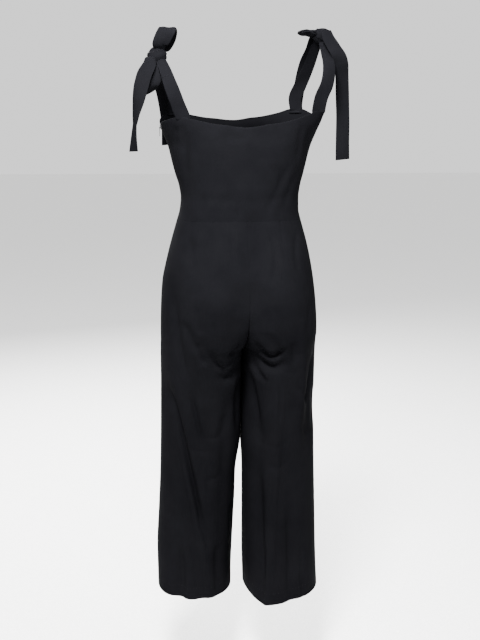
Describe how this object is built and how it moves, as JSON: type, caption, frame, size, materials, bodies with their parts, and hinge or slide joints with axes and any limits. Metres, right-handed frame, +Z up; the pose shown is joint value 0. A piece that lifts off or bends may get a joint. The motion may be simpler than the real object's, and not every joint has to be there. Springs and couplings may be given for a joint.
{
  "type": "jumpsuit",
  "caption": "Sleeveless wide-leg jumpsuit with a scooped back, a waist seam and shoulder straps tied in bows, in its worn hollow form.",
  "frame": {"origin": "midway between the wearer's shoulders, at the level where the tied straps rest", "axes": "+Z up, -Y towards the wearer's front, +X towards the wearer's left"},
  "size_m": [0.476, 0.2689, 1.2851],
  "materials": {
    "crepe": "soft matt stretch crepe with a faint sheen",
    "tape": "matt woven zip tape",
    "zip_metal": "satin black enamel"
  },
  "bodies": {
    "suit": {"bodice_back": "crepe", "bodice_front": "crepe", "trouser_back_left": "crepe", "trouser_back_right": "crepe", "trouser_front_left": "crepe", "trouser_front_right": "crepe", "knot_left": "crepe", "knot_right": "crepe", "strap_back_left": "crepe", "strap_front_left": "crepe", "loop_up_left": "crepe", "loop_low_left": "crepe", "tail_back_left": "crepe", "tail_front_left": "crepe", "strap_back_right": "crepe", "strap_front_right": "crepe", "loop_in_right": "crepe", "loop_front_right": "crepe", "tail_back_right": "crepe", "tail_front_right": "crepe", "zip_tape": "tape", "zip_slider": "zip_metal"},
    "pull_tab": {"zip_pull": "zip_metal"}
  },
  "joints": [
    {"name": "pull_tab_hinge", "type": "hinge", "parent": "suit", "child": "pull_tab", "pos_m": [0.17232, -0.0154, -0.16206], "axis": [0, -1, 0], "range_deg": [-10, 130]}
  ]
}
